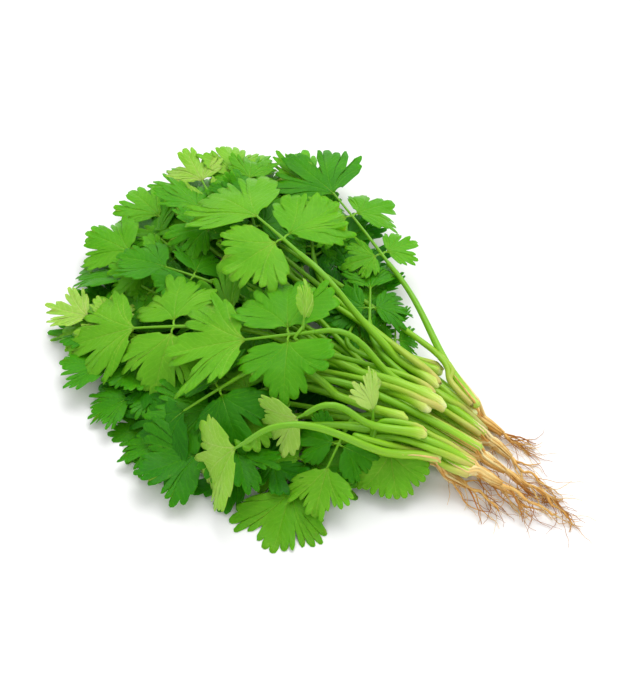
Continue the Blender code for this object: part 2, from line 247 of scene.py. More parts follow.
def add_tube(shape, path, radii, sides, slot, values, ridges=0, depth=0.0, dome=0.5):
    """A round tube along a path, kept above the surface. Its ends are rounded and dome
    radii high, or nearly flat at 0. ridges run along it, depth high."""
    path, radii = np.array(path), np.asarray(radii)
    path[:, 2] = np.maximum(path[:, 2], radii * (1 + depth) + TUBE_LIFT)
    count = len(path)
    values = {k: np.broadcast_to(np.asarray(v, float), count) for k, v in values.items()}
    if dome:
        round_off = np.sqrt(1 - DOME_STEPS**2)
        head_steps = np.outer(DOME_STEPS, unit(path[0] - path[1]))
        head = path[0] + head_steps * radii[0] * dome
        tail_steps = np.outer(DOME_STEPS[::-1], unit(path[-1] - path[-2]))
        tail = path[-1] + tail_steps * radii[-1] * dome
        path = np.vstack([head, path, tail])
        radii = np.concatenate([radii[0] * round_off, radii, radii[-1] * round_off[::-1]])
        values = {k: v[[0, 0, *range(count), -1, -1]] for k, v in values.items()}
        count = len(path)
    along = np.gradient(path, axis=0)
    along /= np.linalg.norm(along, axis=1)[:, None]
    side = np.cross(along[0], [0, 0, 1])
    if np.linalg.norm(side) < 0.1:  # it starts nearly upright
        side = np.cross(along[0], [0, 1, 0])
    turns = 2 * math.pi * np.arange(sides) / sides
    swell = 1 + depth * np.cos(ridges * turns)
    rings = []
    for centre, direction, radius in zip(path, along, radii):
        side = unit(side - direction * (side @ direction))
        other = np.cross(direction, side)
        reach = np.outer(np.cos(turns) * swell, side) + np.outer(np.sin(turns) * swell, other)
        rings.append(centre + reach * radius)
    first_point = path[0] - along[0] * radii[0] * END_POINT
    last_point = path[-1] + along[-1] * radii[-1] * END_POINT
    points = np.vstack([*rings, first_point, last_point])
    faces = []
    for i in range(count - 1):
        low = i * sides
        for k in range(sides):
            after = (k + 1) % sides
            faces.append((low + k, low + after, low + sides + after, low + sides + k))
    first, last = count * sides, count * sides + 1
    top = (count - 1) * sides
    for k in range(sides):
        after = (k + 1) % sides
        faces.append((after, k, first))
        faces.append((top + k, top + after, last))
    spread = {k: np.concatenate([np.repeat(v, sides), v[[0, -1]]]) for k, v in values.items()}
    length = np.concatenate([[0], np.cumsum(np.linalg.norm(np.diff(path, axis=0), axis=1))])
    grain = np.zeros((len(points), 3))
    grain[:-2, 0] = np.tile(np.cos(turns), count)
    grain[:-2, 1] = np.tile(np.sin(turns), count)
    grain[:-2, 2] = np.repeat(length, sides)
    grain[-2:, 2] = length[[0, -1]]
    grain[:, 2] += path[0].sum()  # so that streaks differ from tube to tube
    shape.add(points, faces, slot, spread, grain)


# ---- leaves

# Leaflet outlines, as half their teeth from the midrib out: degrees off the midrib,
# reach and the reach of the notch after it as shares of the length, 1 for the tooth
# that a main vein runs to, and 1 where that notch is a slit between two lobes
BROAD = [
    (0, 1.00, 0.86, 1, 0), (10, 0.95, 0.80, 0, 0), (19, 0.88, 0.58, 0, 1), (29, 0.84, 0.71, 0, 0),
    (38, 0.92, 0.79, 1, 0), (48, 0.92, 0.76, 0, 0), (58, 0.83, 0.66, 0, 0), (67, 0.66, 0.18, 0, 1),
]
CLEFT = [
    (0, 1.00, 0.83, 1, 0), (12, 0.91, 0.50, 0, 1), (27, 0.82, 0.67, 0, 0), (37, 0.93, 0.78, 1, 0),
    (48, 0.89, 0.60, 0, 1), (60, 0.76, 0.60, 0, 0), (68, 0.60, 0.16, 0, 1),
]
DEEP = [
    (0, 1.00, 0.81, 1, 0), (9, 0.93, 0.38, 0, 1), (22, 0.88, 0.71, 0, 0), (31, 0.98, 0.79, 1, 0),
    (40, 0.93, 0.73, 0, 0), (49, 0.85, 0.50, 0, 1), (60, 0.87, 0.68, 0, 0), (70, 0.72, 0.16, 0, 1),
]
ROUND = [
    (0, 1.00, 0.88, 1, 0), (10, 0.97, 0.84, 0, 0), (20, 0.92, 0.68, 0, 1), (31, 0.89, 0.77, 0, 0),
    (42, 0.94, 0.81, 1, 0), (53, 0.92, 0.78, 0, 0), (64, 0.83, 0.66, 0, 0), (75, 0.66, 0.20, 0, 1),
]
FRILLY = [
    (0, 1.00, 0.72, 1, 0), (9, 0.90, 0.64, 0, 0), (18, 0.77, 0.40, 0, 1), (28, 0.77, 0.55, 0, 0),
    (37, 0.90, 0.62, 1, 0), (46, 0.84, 0.56, 0, 0), (56, 0.73, 0.46, 0, 1), (67, 0.54, 0.12, 0, 1),
]

TOOTH_RAYS = 6  # rays across one tooth
TOOTH_POWER = 2.4  # how square a tooth is
NOTCH_POWER, SLIT_POWER = 0.56, 1.5  # how early it falls away to a notch or a slit
END_GAP = 8  # degrees from the last tooth to the leaflet's side
CROWDING, CROWDING_WAVE = 3.5, 38  # degrees: teeth crowd together in waves
TOOTH_DEGREES, TOOTH_REACH, NOTCH_REACH = 1.2, 0.045, 0.05  # how much teeth differ

# How a leaf looks: tones of its end and side leaflets, their outlines, how far a blade
# droops, folds along its midrib and waves, as shares of its length, how many degrees a
# leaflet may tip either way, and the end one's length as a share of the CAD's
Look = namedtuple(
    "Look",
    "tones outlines droop fold wave tip grow",
    defaults=[(BROAD, BROAD), 0.12, 0.14, 0.07, 13, 1.0],
)
# Tones also carry painted light and shade: leaves lying deep in the bunch get dark tones as
# painted shade, and leaf_18's side leaflets, in the shade of a leaf over them, a paler one as
# painted light.
LOOKS = {
    "leaf_01": Look((0.08, 0.08)),
    "leaf_02": Look((0.56, 0.48), tip=6),
    "pinnate_leaf_03": Look((0.28, 0.22)),
    "pinnate_leaf_04": Look((0.24, 0.16)),
    "leaf_05": Look((0.62, 0.40), (CLEFT, BROAD)),
    "pinnate_leaf_06": Look((0.36, 0.26), (CLEFT, CLEFT)),
    "leaf_07": Look((0.56, 0.38), (CLEFT, BROAD)),
    "leaf_08": Look((0.46, 0.38), (BROAD, CLEFT)),
    "pinnate_leaf_09": Look((0.54, 0.34), (CLEFT, BROAD)),
    "young_leaf_10": Look((0.62, 0.62), (ROUND, ROUND)),
    "leaf_11": Look((0.62, 0.30)),
    "leaf_12": Look((0.22, 0.18)),
    "leaf_13": Look((0.22, 0.22), (CLEFT, BROAD)),
    "leaf_14": Look((0.34, 0.24)),
    "leaf_15": Look((0.28, 0.20), (FRILLY, FRILLY)),
    "leaf_16": Look((0.34, 0.26), (FRILLY, CLEFT)),
    "pinnate_leaf_17": Look((0.30, 0.50), (DEEP, CLEFT), tip=6, droop=0.02, grow=1.24),
    "leaf_18": Look((0.30, 0.58)),
    "leaf_19": Look((0.20, 0.30), (CLEFT, BROAD)),
    "leaf_20": Look((0.50, 0.40), (CLEFT, CLEFT), tip=3),
    "leaf_21": Look((0.12, 0.24), (BROAD, CLEFT), tip=0, droop=0.25, fold=0, wave=0.03),
    "leaf_22": Look((0.60, 0.60), (CLEFT, BROAD), tip=7, fold=0.08),
    "leaf_23": Look((0.60, 0.42), (CLEFT, ROUND), tip=5, droop=0.04),
    "leaf_24": Look((0.62, 0.58), tip=6, fold=0.05, droop=0.06),
    "young_leaf_25": Look((0.90, 0.90), tip=6),
    "young_leaf_26": Look((0.80, 0.80), tip=3, fold=0.04),
}


def outline(teeth, spread, rng):
    """Rays across a leaflet: angle, reach, angles off its lobe's main vein and off its
    tooth's middle, and the numbers of its lobe and tooth."""
    both_sides = teeth[:0:-1] + teeth
    notched = teeth[::-1] + teeth
    centres = [-row[0] for row in teeth[:0:-1]] + [row[0] for row in teeth]
    reaches = [row[1] for row in both_sides]
    mains = [row[3] for row in both_sides]
    notches = [row[2] for row in notched]
    slits = [row[4] for row in notched]
    centres = np.array(centres) * spread
    crowding = CROWDING * np.sin(centres / CROWDING_WAVE + rng.uniform(0, 6))
    centres += crowding + rng.normal(0, TOOTH_DEGREES, len(centres))
    reaches = np.array(reaches) * (1 + rng.normal(0, TOOTH_REACH, len(centres)))
    notches = np.array(notches) * (1 + rng.normal(0, NOTCH_REACH, len(notches)))
    lobes = np.cumsum([0, *slits[1:-1]])
    veins = {lobe: centre for lobe, centre, main in zip(lobes, centres, mains) if main}
    between = (centres[1:] + centres[:-1]) / 2
    edges = np.array([centres[0] - END_GAP, *between, centres[-1] + END_GAP])
    rows = []
    for i, (centre, reach, lobe) in enumerate(zip(centres, reaches, lobes)):
        # a tooth's first ray is the last of the tooth before it
        for s in np.linspace(-1, 1, TOOTH_RAYS + 1)[(i > 0) :]:
            t = math.sin(s * math.pi / 2)
            end = i if t < 0 else i + 1
            side, notch = edges[end], min(reach, notches[end])
            power = SLIT_POWER if slits[end] else NOTCH_POWER
            rise = max(0.0, 1 - abs(t) ** TOOTH_POWER) ** power
            angle = centre + abs(t) * (side - centre)
            off = angle - veins.get(lobe, centre)
            rows.append((angle, notch + (reach - notch) * rise, off, angle - centre, lobe, i))
    return np.array(rows).T


def turned(points, pitch, roll):
    """Points of a leaflet tipped about its foot, in degrees."""
    a, b = math.radians(pitch), math.radians(roll)
    x, y, z = points.T
    y, z = y * math.cos(b) - z * math.sin(b), y * math.sin(b) + z * math.cos(b)
    x, z = x * math.cos(a) - z * math.sin(a), x * math.sin(a) + z * math.cos(a)
    return np.stack([x, y, z], 1)


SOFT_LANDING = 0.5  # mm2: how softly leaves flatten out towards the surface


def above_surface(points, least):
    """The points with any that are under the least height brought up, softly."""
    height = points[:, 2] - least
    points = points.copy()
    points[:, 2] = least + 0.5 * (height + np.sqrt(height**2 + SOFT_LANDING))
    return points


def on_leaf(leaf, u, v, w):
    """World places of points given in a leaf's own frame, with its bends added."""
    a, b, c = leaf.bend
    w = w + a * u * u + b * v * v + c * u * v
    flat = np.outer(u, leaf.along) + np.outer(v, leaf.across)
    return above_surface(leaf.foot + flat + np.outer(w, leaf.up), leaf.least)


# One leaflet's blade, in mm, radians and shares of its length
BLADE_RINGS = 9
RING_POWER = 0.85  # rings lie a little closer together towards the rim
BLADE_THICK = 0.24
RIM_THICK = 0.10
PINCH, PINCH_POWER = 0.44, 1.3  # how much a leaflet's flanks draw in towards its foot
INNER_ANGLE = [0, 0.5, 1.0, 1.4]  # the toothless outline that the inner rings follow
INNER_REACH = [0.96, 0.92, 0.78, 0.40]
INNER_SHARE = 0.7
VEIN_HALF, VEIN_TAPER = 0.50, 0.34  # half a vein's width at the foot, and what it loses
DROOP_RANGE, FOLD_RANGE = (0.5, 1.5), (-0.5, 1.8)  # leaflets' shares of their leaf's
FOLD_ROUND = 0.08  # how round the fold along the midrib is
WAVES = (3.5, 6)  # waves of the rim in a full turn
LOBE_TILT, LOBE_FROM = 0.22, 0.55  # lobes tilt up or down from here out
TOOTH_TILT, TOOTH_FROM = 0.16, 0.68
FURROW, FURROW_SOFT = 0.36, 1.5  # depth of the furrow over a vein, and its width
GUTTER, GUTTER_SOFT = 0.20, 0.8  # the same for the shallow one down each tooth
RIB_HALF, RIB_TIP, MINOR_RIB = 0.34, 0.08, 0.75  # ribs below, and all but the midrib


def add_blade(shape, leaf, base, axis, length, style, tone, look_of, spread, rng):
    """One leaflet: a closed blade with furrowed veins on top and ribs below."""
    angle, reach, off, finger, lobe, tooth = outline(style, spread, rng)
    share = (np.arange(1, BLADE_RINGS + 1) / BLADE_RINGS)[:, None] ** RING_POWER
    drawn_in = 1 - PINCH * (1 - share) ** PINCH_POWER
    angle, off, finger = np.radians([angle, abs(off), abs(finger)])[:, None] * drawn_in
    even = np.interp(abs(angle[-1]), INNER_ANGLE, INNER_REACH)
    mix = INNER_SHARE * (1 - share)
    radius = length * share * (mix * even + (1 - mix) * reach)
    x, y = radius * np.cos(angle), radius * np.sin(angle)
    far = radius / length
    vein = radius * off
    width = np.broadcast_to(VEIN_HALF - VEIN_TAPER * share, radius.shape)
    droop = look_of.droop * rng.uniform(*DROOP_RANGE)
    fold = look_of.fold * rng.uniform(*FOLD_RANGE)
    fold_round = FOLD_ROUND * length
    z = -droop * length * far**2 + fold * (np.hypot(y, fold_round) - fold_round)
    phase = rng.uniform(0, 2 * math.pi)
    z += look_of.wave * length * far**2 * np.sin(rng.uniform(*WAVES) * angle + phase)
    tilts = rng.normal(0, LOBE_TILT, int(lobe.max()) + 1)
    z += tilts[lobe.astype(int)] * np.maximum(0, radius - LOBE_FROM * length)
    tilts = rng.normal(0, TOOTH_TILT, int(tooth.max()) + 1)
    z += tilts[tooth.astype(int)] * np.maximum(0, radius - TOOTH_FROM * length)
    # the blade stands higher away from its veins, but not at its foot
    z += FURROW * np.sqrt(vein / (vein + FURROW_SOFT)) * np.clip(far * 5, 0, 1)
    gutter = radius * finger
    z += GUTTER * np.sqrt(gutter / (gutter + GUTTER_SOFT)) * np.clip(far * 3 - 1.2, 0, 1)
    tipped = look_of.tip * rng.uniform(-1, 1, 2)
    flat = np.stack([x.ravel(), y.ravel(), z.ravel()], 1)
    flat = turned(np.vstack([[0, 0, 0], flat]), *tipped)
    u = base[0] + flat[:, 0] * math.cos(axis) - flat[:, 1] * math.sin(axis)
    v = base[1] + flat[:, 0] * math.sin(axis) + flat[:, 1] * math.cos(axis)
    middle = on_leaf(leaf, u, v, flat[:, 2])
    thick = np.full(radius.shape, BLADE_THICK)
    thick[-1] = RIM_THICK
    half = np.concatenate([[BLADE_THICK], thick.ravel()])[:, None] / 2
    rays = len(reach)
    count = len(middle)
    top = [(0, 1 + i, 2 + i) for i in range(rays - 1)]
    for j in range(BLADE_RINGS - 1):
        for i in range(rays - 1):
            low, high = 1 + j * rays + i, 1 + (j + 1) * rays + i
            top.append((low, high, high + 1, low + 1))
    first_ray = [1 + j * rays for j in range(BLADE_RINGS)]
    outer = [1 + (BLADE_RINGS - 1) * rays + i for i in range(1, rays)]
    last_ray = [j * rays for j in range(BLADE_RINGS - 1, 0, -1)]
    loop = [0, *first_ray, *outer, *last_ray]
    under = [[k + count for k in reversed(face)] for face in top]
    rim = []
    for a, b in zip(loop, loop[1:] + loop[:1]):
        rim.append((a + count, b + count, b, a))
    both = {
        "tone": tone,
        "vein_mm": np.tile(np.concatenate([[0], vein.ravel()]), 2),
        "vein_width": np.tile(np.concatenate([[VEIN_HALF], width.ravel()]), 2),
        "reach_mm": np.tile(np.concatenate([[0], radius.ravel()]), 2),
        "under": np.repeat([0.0, 1.0], count),
    }
    points = np.vstack([middle + leaf.up * half, middle - leaf.up * half])
    shape.add(points, top + under + rim, 0, both, flat_from=2 * len(top))
    for k in np.flatnonzero(off[-1] == 0):
        rib = np.vstack([middle[:1], middle[1 + k :: rays]])[: BLADE_RINGS - 1]
        rib = rib - leaf.up * (BLADE_THICK / 2)
        thin = 1 if abs(angle[-1, k]) < 0.1 else MINOR_RIB
        radii = np.linspace(RIB_HALF, RIB_TIP, len(rib)) * thin
        add_tube(shape, rib, radii, 5, 1, {"bleach": 0.45}, dome=0)


# A leaf's ribs: radii in mm at size 1, and what they run past their ends
RIB_START, RIB_END = 1.2, 1.0
MAIN_RIB = (0.95, 0.55)
SIDE_RIB = (0.62, 0.45)
SIDE_RIB_START, SIDE_RIB_END = 0.8, 0.8
SIDE_RIB_BEND = 0.6
# How wide leaflets are beside their outlines, and how much they differ
SIDE_SPREAD, END_SPREAD = 1.08, 0.92
SIDE_TONES, END_TONES = 0.03, 0.02
SIDE_TURNS, END_TURNS = 5, 3
SIDE_LENGTHS = (0.95, 1.05)


def add_leaf(shape, leaf, kind, look_of, rng):
    """All leaflets of a leaf with the ribs that carry them."""
    pairs, place, length = PATTERNS[kind]
    size = leaf.size
    rib_u = np.linspace(-RIB_START, place * size + RIB_END, 14)
    line = on_leaf(leaf, rib_u, 0 * rib_u, 0 * rib_u)
    thick = np.interp(rib_u, [0, place * size], MAIN_RIB) * size**0.5
    add_tube(shape, line, thick, 12, 1, {"bleach": 0.22}, ridges=4, depth=0.05)
    end_tone, side_tone = look_of.tones
    end_style, side_style = look_of.outlines
    for at, side_length, degrees in pairs:
        for sign in (1, -1):
            axis = math.radians(sign * degrees)
            # the rib of a side leaflet leaves the main rib, then bends out to the leaflet
            reach = (PETIOLULE + SIDE_RIB_END) * size
            base = (at * size + reach * math.cos(axis), reach * math.sin(axis))
            t = np.linspace(0, 1, 6)
            run = base[0] - at * size + SIDE_RIB_START
            bow = SIDE_RIB_BEND * np.sin(math.pi * t)
            u = at * size - SIDE_RIB_START + run * t + bow
            v = base[1] * t
            line = on_leaf(leaf, u, v, 0 * u)
            thick = np.linspace(*SIDE_RIB, 6) * size**0.5
            add_tube(shape, line, thick, 8, 1, {"bleach": 0.3})
            tone = side_tone + rng.normal(0, SIDE_TONES)
            turn = axis + math.radians(rng.normal(0, SIDE_TURNS))
            long = side_length * size * rng.uniform(*SIDE_LENGTHS)
            add_blade(shape, leaf, base, turn, long, side_style, tone, look_of, SIDE_SPREAD, rng)
    base = (place * size, 0.0)
    turn = math.radians(rng.normal(0, END_TURNS))
    end_tone = end_tone + rng.normal(0, END_TONES)
    long = length * size * look_of.grow
    add_blade(shape, leaf, base, turn, long, end_style, end_tone, look_of, END_SPREAD, rng)


# ---- stalks

STALK_SIDES = 20
STALK_RIDGES = 10
RIDGE_DEPTH = 0.05  # in radii
STALK_STEP = 2.5  # mm between rings
LOOSE_RADIUS = 2.0  # a CAD stalk with a slimmer base than this is a loose one
LOOSE_DOME, ROOTED_DOME = 1.1, 0.5  # how far the ends stand out, in radii
CROWN_DEPTH = 6.0  # mm into its crown that a stalk runs
CROWN_GAP = 1.0  # mm from there back towards the stalk's base
CROWN_SLIM = 0.55  # its radius there, of its base's


def is_loose(line):
    return line[-1, 3] < LOOSE_RADIUS


def into_crown(line, crown):
    """The stalk's line led on from its base into the crown, slimmer there."""
    inner = crown[np.searchsorted(crown[:, 0] - crown[0, 0], CROWN_DEPTH), :3]
    inner = inner + unit(line[-1, :3] - inner) * CROWN_GAP
    return np.vstack([line, [*inner, CROWN_SLIM * line[-1, 3]]])


def add_stalk(shape, line, rng):
    """One ribbed stalk, green at its leaf and paler towards its base."""
    loose = is_loose(line)
    rows = smooth_rows(line[:-1] if loose else line, STALK_STEP)
    share = np.linspace(0, 1, len(rows))
    if loose:
        end = rng.uniform(0.62, 0.95)
        bleach = np.interp(share, [0, 0.45, 0.80, 0.92, 1], [0.20, 0.30, 0.42, 0.58, end])
        brown = 0.0
    else:
        bleach = np.interp(share, [0, 0.45, 0.7, 0.9, 1], [0.20, 0.32, 0.46, 0.70, 0.9])
        brown = np.interp(share, [0, rng.uniform(0.45, 0.70), 0.9, 1], [0, 0.08, 0.75, 1.0])
    values = {"bleach": bleach, "brown": brown}
    dome = LOOSE_DOME if loose else ROOTED_DOME
    path, radii = rows[:, :3], rows[:, 3]
    add_tube(shape, path, radii, STALK_SIDES, 0, values, STALK_RIDGES, RIDGE_DEPTH, dome)


# ---- leaves the CAD omits

SIDE_LEAVES_PER_PIECE = 7
SIDE_LEAST = 1.6  # mm from the surface to their blades' middle
BESIDE = 3.6  # mm from a CAD stalk's middle to the thin stalk beside it
HOST_PLACES = ((1, 0.5), (0.8, 1), (0.6, 1))  # shares along the CAD stalk and of BESIDE
FOOT_RUN = 12  # mm straight into the leaf's foot, at size 1
SIDE_BEND = (-0.002, -0.003, 0.0)  # as in LeafFrame, 1/mm
SIDE_STALK = (1.7, 1.0)  # radii in mm, the second at size 1
SIDE_STALK_LIFT = 0.3

# Leaves filling out the bunch: the CAD stalk they grow beside, the place of their foot
# in mm from the middle of the CAD box's floor, heading, rise and roll in degrees, size,
# tone and outline
SideLeaf = namedtuple(
    "SideLeaf", "host foot heading rise roll size tone style kind", defaults=["leaf"]
)
# Low tones on leaves deep in the bunch are painted shade.
SIDE_LEAVES = [
    # pale tips along the far edge
    (9, (-100, 48, 20), 145, 8, 0, 0.70, 0.82, CLEFT),
    (24, (-92, 56, 18), 125, 5, 0, 0.74, 0.64, BROAD),
    (17, (-87, 55, 22), 114, 10, 0, 0.64, 0.50, CLEFT),
    (8, (-106, 22, 14), 155, 5, 0, 0.78, 0.58, CLEFT),
    (7, (-102, -2, 14), 172, 8, 0, 0.78, 0.54, BROAD),
    (22, (-102, -42, 11), 188, 8, 0, 0.60, 0.88, CLEFT),
    (14, (-97, -37, 8), 215, 5, 0, 0.60, 0.62, BROAD),
    # the crowded far side
    (8, (-94, 32, 15), 140, 6, 8, 0.92, 0.42, BROAD),
    (6, (-92, 10, 14), 162, 5, -8, 0.92, 0.36, CLEFT),
    (5, (-92, -14, 12), 176, 4, 6, 0.86, 0.30, BROAD),
    (24, (-82, 44, 20), 122, 8, -6, 0.90, 0.46, CLEFT),
    (9, (-74, 50, 16), 122, 6, 4, 0.74, 0.36, BROAD),
    (13, (-88, -36, 10), 200, 4, 0, 0.78, 0.26, CLEFT),
    (13, (-76, -50, 9), 216, 3, 5, 0.74, 0.34, BROAD),
    (7, (-84, 26, 24), 150, 10, 12, 0.80, 0.40, CLEFT),
    (6, (-74, 0, 22), 190, 8, -10, 0.80, 0.34, BROAD),
    (19, (-66, 34, 26), 132, 10, 6, 0.80, 0.30, CLEFT),
    # the near edge
    (3, (-62, -62, 9), 228, 0, 0, 0.60, 0.30, BROAD),
    (12, (-38, -76, 8), 238, 0, 0, 0.55, 0.25, CLEFT),
    (11, (36, -50, 8), 240, 0, 0, 0.55, 0.34, BROAD),
    (26, (42, -36, 6), 215, 4, 0, 0.55, 0.18, BROAD),
    # behind the long stalks
    (17, (-40, 50, 14), 70, 5, 0, 0.52, 0.22, CLEFT),
    (16, (-32, 48, 12), 95, 5, 0, 0.70, 0.16, BROAD),
    (15, (-12, 26, 12), 105, 12, 0, 0.75, 0.14, CLEFT),
    (16, (4, 28, 10), 105, 10, 0, 0.55, 0.24, FRILLY),
    (16, (26, 14, 14), 118, 15, 0, 0.45, 0.38, FRILLY),
    (8, (14, 6, 16), 130, 12, 0, 0.55, 0.20, FRILLY),
    # dark ones in the middle, their dark tones painted shade deep in the bunch
    (20, (-55, 8, 12), 185, 3, 0, 0.80, 0.12, CLEFT),
    (16, (-28, 22, 12), 130, 3, 0, 0.80, 0.12, BROAD),
    (4, (-14, -28, 9), 200, 3, 0, 0.85, 0.10, BROAD),
    (3, (12, -14, 7), 200, 5, 0, 0.80, 0.08, CLEFT),
    (2, (20, -34, 6), 205, 4, 0, 0.65, 0.10, BROAD),
    (12, (10, -64, 7), 232, 0, 0, 0.75, 0.14, CLEFT),
    (13, (-44, -42, 13), 215, 3, 0, 0.80, 0.14, BROAD),
    (14, (-75, -18, 9), 190, 3, 0, 0.75, 0.12, CLEFT),
    # small upright ones seen edge on
    (23, (-7, -20, 46), 112, 38, 62, 0.70, 0.80, BROAD, "young_leaf"),
    (25, (43, -41, 30), 118, 58, 44, 0.78, 0.94, BROAD, "young_leaf"),
]


def add_side_leaf(shape, side, line, middle, rng):
    """A small leaf whose own stalk runs beside a CAD stalk before it leaves it."""
    foot = np.array([middle[0] + side.foot[0], middle[1] + side.foot[1], side.foot[2]])
    turn, rise = math.radians(side.heading), math.radians(side.rise)
    along = np.array(
        [math.cos(turn) * math.cos(rise), math.sin(turn) * math.cos(rise), math.sin(rise)]
    )
    level = unit(np.cross([0, 0, 1], along) + rng.normal(0, 0.10, 3))  # not quite level
    up = unit(np.cross(along, level))
    level = np.cross(up, along)
    roll = math.radians(side.roll)
    across = level * math.cos(roll) + up * math.sin(roll)
    up = np.cross(along, across)
    leaf = LeafFrame(foot, along, across, up, side.size, SIDE_BEND, SIDE_LEAST)
    tones = (side.tone, side.tone - 0.04)
    add_leaf(shape, leaf, side.kind, Look(tones, (side.style, side.style)), rng)
    beside = unit(np.cross(line[-1, :3] - line[0, :3], [0, 0, 1])) * BESIDE
    if beside @ (foot - line[0, :3]) < 0:
        beside = -beside
    last = len(line) - 1
    ways = [line[round(last * at), :3] + beside * far for at, far in HOST_PLACES]
    path = smooth_rows([*ways, foot - along * FOOT_RUN * side.size, foot], STALK_STEP)
    share = np.linspace(0, 1, len(path))
    radii = np.interp(share, [0, 1], [SIDE_STALK[0], SIDE_STALK[1] * side.size**0.5])
    path[:, 2] = np.maximum(path[:, 2], radii + SIDE_STALK_LIFT)
    bleach = np.interp(share, [0, 0.2, 0.5, 1], [0.85, 0.45, 0.3, 0.2])
    brown = np.interp(share, [0, 0.1, 0.25], [0.7, 0.4, 0.0])
    values = {"bleach": bleach, "brown": brown}
    add_tube(shape, path, radii, 14, 1, values, 7, RIDGE_DEPTH)


# ---- roots

CROWN_REACH = 13  # mm from the nearest crown's start: stalks that end within this join it

# Following a CAD root along X, in mm
SLICES = 28
START_DEPTH = 1.5  # from its lowest X: its start
FIRST_SLICE, LAST_SLICE = 1.2, 1.5  # in from its two ends
FIRST_RADIUS = 3.6
CLOSE_RADII, CLOSE_MORE = 1.7, 0.5  # how far points of the taproot lie from its middle
LEAST_POINTS = 4
TURNING = 0.4  # how quickly the heading follows the middle
ROOT_STEP = 1.2  # mm between the rings of roots and strands


def root_line(name):
    """A CAD root's middle line and radii from the crown to the tip, found slice by slice."""
    points, faces = node_shape(name)
    low, high = points[:, 0].min(), points[:, 0].max()
    start = points[points[:, 0] < low + START_DEPTH]
    middle, radius = start.mean(0), FIRST_RADIUS
    heading = np.array([1.0, 0.0, 0.0])
    ends = np.concatenate([faces[:, [0, 1]], faces[:, [1, 2]], faces[:, [2, 0]]])
    a, b = points[ends[:, 0]], points[ends[:, 1]]
    rows = []
    for x in np.linspace(low + FIRST_SLICE, high - LAST_SLICE, SLICES):
        cut = (a[:, 0] < x) != (b[:, 0] < x)
        t = ((x - a[cut, 0]) / (b[cut, 0] - a[cut, 0]))[:, None]
        crossing = a[cut] + (b[cut] - a[cut]) * t
        guess = middle + heading * (x - middle[0])
        most = CLOSE_RADII * radius + CLOSE_MORE
        close = crossing[np.linalg.norm(crossing - guess, axis=1) < most]
        if len(close) < LEAST_POINTS:
            break
        found = close.mean(0)
        if rows:
            step = (found - middle) / max(found[0] - middle[0], 1e-6)
            heading = (1 - TURNING) * heading + TURNING * step
        middle = found
        radius = min(radius, np.linalg.norm(close - middle, axis=1).mean())
        rows.append([*middle, radius])
    return np.array(rows)


HAIR_FLOOR, HAIR_LIFT = 0.7, 0.2  # mm: the least height of a thin root, and some more
BOUNCE = 0.3  # share of its slope with which it leaves the surface again


def wander(start, heading, length, steps, bend, sink, rng):
    """A wavering path from start that sinks towards the surface."""
    path = [np.array(start)]
    heading = unit(np.array(heading, float))
    for _ in range(steps):
        heading = unit(heading + rng.normal(0, bend, 3) * [1, 1, 0.6] - [0, 0, sink])
        after = path[-1] + heading * length / steps
        if after[2] < HAIR_FLOOR:
            after[2] = HAIR_FLOOR + rng.uniform(0, HAIR_LIFT)
            heading[2] = abs(heading[2]) * BOUNCE
        path.append(after)
    return np.array(path)


STRANDS = 9  # fibrous strands that join each stalk to its crown
NEAR_CROWN = 8.0  # mm: a stalk whose base is farther off has a third as many
STRAND_STARTS = [14.0, 7.0, 2.0]  # mm into the crown: three places that they pass
STRAND_SPREAD = [1.2, 1.9, 2.1]  # mm off the crown's middle there
STRAND_LENGTHS = (6, 30)  # mm along the stalk
STRAND_SINK = 0.25  # mm into the stalk


def add_strands(shape, stalk, crown, rng):
    """Pale and brown strands from the crown along the base of a stalk, fraying out."""
    rows = smooth_rows(stalk, 1.0)[::-1]
    inner = crown[np.searchsorted(crown[:, 0] - crown[0, 0], STRAND_STARTS)][:, :3]
    near = np.linalg.norm(stalk[-1, :3] - crown[0, :3]) < NEAR_CROWN
    strands = STRANDS if near else STRANDS // 3
    for k in range(strands):
        turn = 2 * math.pi * (k + rng.uniform(-0.3, 0.3)) / strands
        reach = int(rng.uniform(*STRAND_LENGTHS))
        part = rows[:reach:3]
        ahead = unit(part[-1, :3] - part[0, :3])
        side = unit(np.cross(ahead, [0, 0, 1]))
        off = math.cos(turn) * side + math.sin(turn) * np.cross(side, ahead)
        hug = part[:, :3] + off * (part[:, 3:] - STRAND_SINK)
        spread = np.outer(STRAND_SPREAD, off)
        path = smooth_rows(np.vstack([inner + spread, hug]), ROOT_STEP)
        share = np.linspace(0, 1, len(path))
        thick = np.interp(share, [0, 0.3, 0.6, 1], [0.4, 0.8, 0.6, 0.10])
        radii = thick * rng.uniform(0.7, 1.2)
        path[:, 2] = np.maximum(path[:, 2], radii + 0.1)
        brown = np.interp(share, [0, 1], [0.42, 0.0]) + rng.uniform(-0.32, 0.42)
        add_tube(shape, path, radii, 8, 0, {"brown": brown}, 3, 0.15)


# A root's lengths and radii are in mm
LUMPS, ROUGHNESS = 0.10, 0.06  # how a taproot's radius varies, slowly and quickly
WAVER = 0.5  # how far its middle wavers
SIDE_ROOTS, HAIRS, HAIRS_PER_SIDE_ROOT = 6, 18, 2
SIDE_ROOT_TURN = (4, 18)  # degrees off the taproot
SIDE_ROOT_LENGTHS, HAIR_LENGTHS, SHORT_HAIRS = (14, 28), (8, 24), (6, 15)
SIDE_ROOT_RADII, HAIR_RADII = (0.56, 0.16), (0.20, 0.08)  # at the start and the tip


